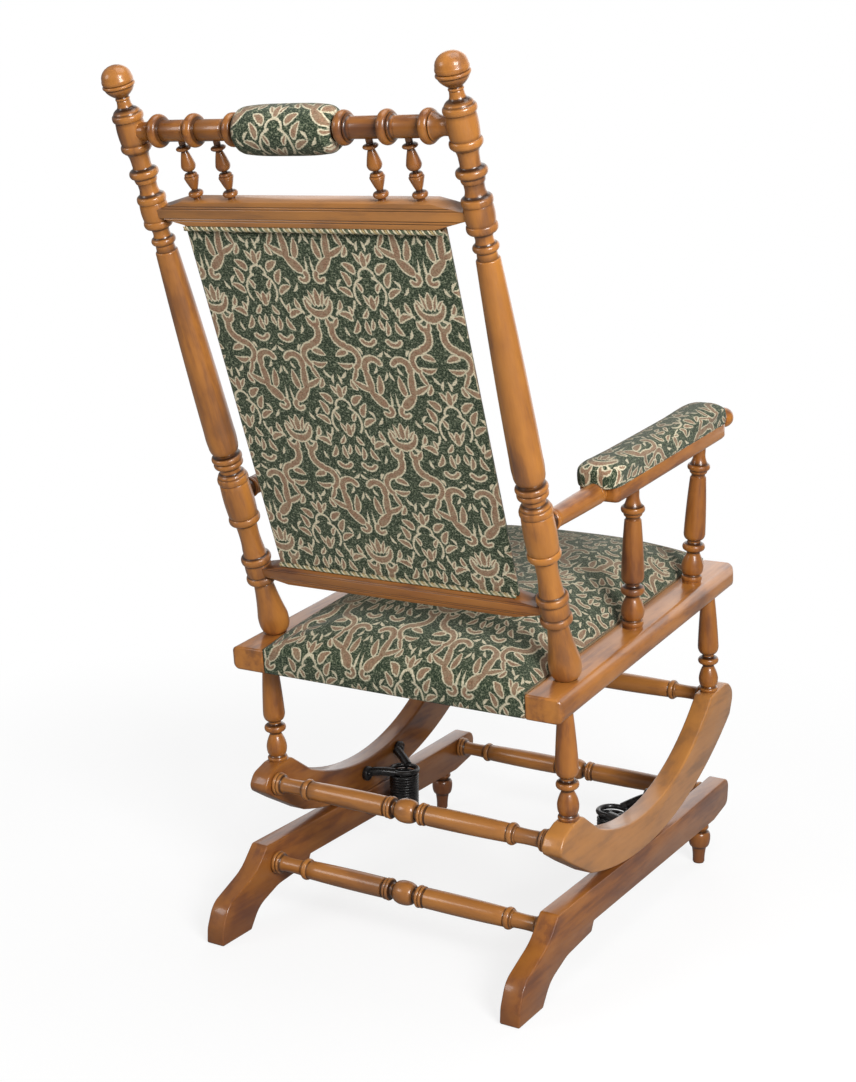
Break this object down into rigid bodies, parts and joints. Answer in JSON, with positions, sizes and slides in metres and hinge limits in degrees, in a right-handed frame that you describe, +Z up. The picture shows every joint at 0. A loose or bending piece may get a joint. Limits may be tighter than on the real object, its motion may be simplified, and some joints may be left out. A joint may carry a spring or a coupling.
{
  "type": "upholstered platform rocking chair",
  "caption": "Upholstered rocking chair with turned wooden frame, padded seat, back, arms and headrest roll, whose rockers roll on a sprung wooden base.",
  "frame": {"origin": "on the floor, under the middle of the whole chair at rest", "axes": "+Z up, the sitter faces -Y, +X to the sitter's left"},
  "size_m": [0.5034, 0.804, 1.0831],
  "materials": {
    "wood": "polished honey-brown hardwood",
    "hidden_wood": "plain sawn wood under the cover",
    "damask": "dark green cut-pile damask with taupe and cream scrolls",
    "hessian": "woven jute webbing and hessian",
    "iron": "black enamelled iron and spring steel",
    "tack": "dull bronzed tack"
  },
  "bodies": {
    "base": {"base_stretcher_rear": "wood", "base_stretcher_front": "wood", "base_rail_left": "wood", "front_foot_left": "wood", "coil_spring_left": "iron", "lower_spring_bracket_left": "iron", "lower_screw_left_rear": "iron", "lower_screw_left_front": "iron", "base_rail_right": "wood", "front_foot_right": "wood", "coil_spring_right": "iron", "lower_spring_bracket_right": "iron", "lower_screw_right_rear": "iron", "lower_screw_right_front": "iron"},
    "carrier": {"arm_tack_left": "tack", "arm_tack_right": "tack"},
    "chair": {"rocker_stretcher_rear": "wood", "rocker_stretcher_front": "wood", "seat_rail_rear": "hidden_wood", "seat_rail_front": "hidden_wood", "seat_webbing": "hessian", "seat_pad": "damask", "crest_rail": "wood", "headrest_roll": "damask", "upper_back_rail": "wood", "lower_back_rail": "wood", "back_panel": "damask", "back_pad": "damask", "rocker_left": "wood", "upper_spring_bracket_left": "iron", "seat_rail_left": "wood", "back_post_left": "wood", "arm_left": "wood", "arm_pad_left": "damask", "upper_screw_left_rear": "iron", "support_spindle_left_rear": "wood", "arm_spindle_left_rear": "wood", "upper_screw_left_front": "iron", "support_spindle_left_front": "wood", "arm_spindle_left_front": "wood", "crest_spindle_left_inner": "wood", "crest_spindle_left_outer": "wood", "rocker_right": "wood", "upper_spring_bracket_right": "iron", "seat_rail_right": "wood", "back_post_right": "wood", "arm_right": "wood", "arm_pad_right": "damask", "upper_screw_right_rear": "iron", "support_spindle_right_rear": "wood", "arm_spindle_right_rear": "wood", "upper_screw_right_front": "iron", "support_spindle_right_front": "wood", "arm_spindle_right_front": "wood", "crest_spindle_right_inner": "wood", "crest_spindle_right_outer": "wood"}
  },
  "joints": [
    {"name": "roll_travel", "type": "slide", "parent": "base", "child": "carrier", "axis": [0, 1, 0], "range_m": [-0.0895, 0.1075]},
    {"name": "rocking", "type": "hinge", "parent": "carrier", "child": "chair", "pos_m": [0, -0.084, 0.61325], "axis": [1, 0, 0], "range_deg": [-12, 10], "stiffness_Nm_per_rad": 150, "springref_deg": 3.04, "deforming": ["coil_spring_left", "coil_spring_right"]}
  ],
  "couplings": [
    {"joint": "roll_travel", "follows": "rocking", "m_per_rad": -0.50995}
  ]
}
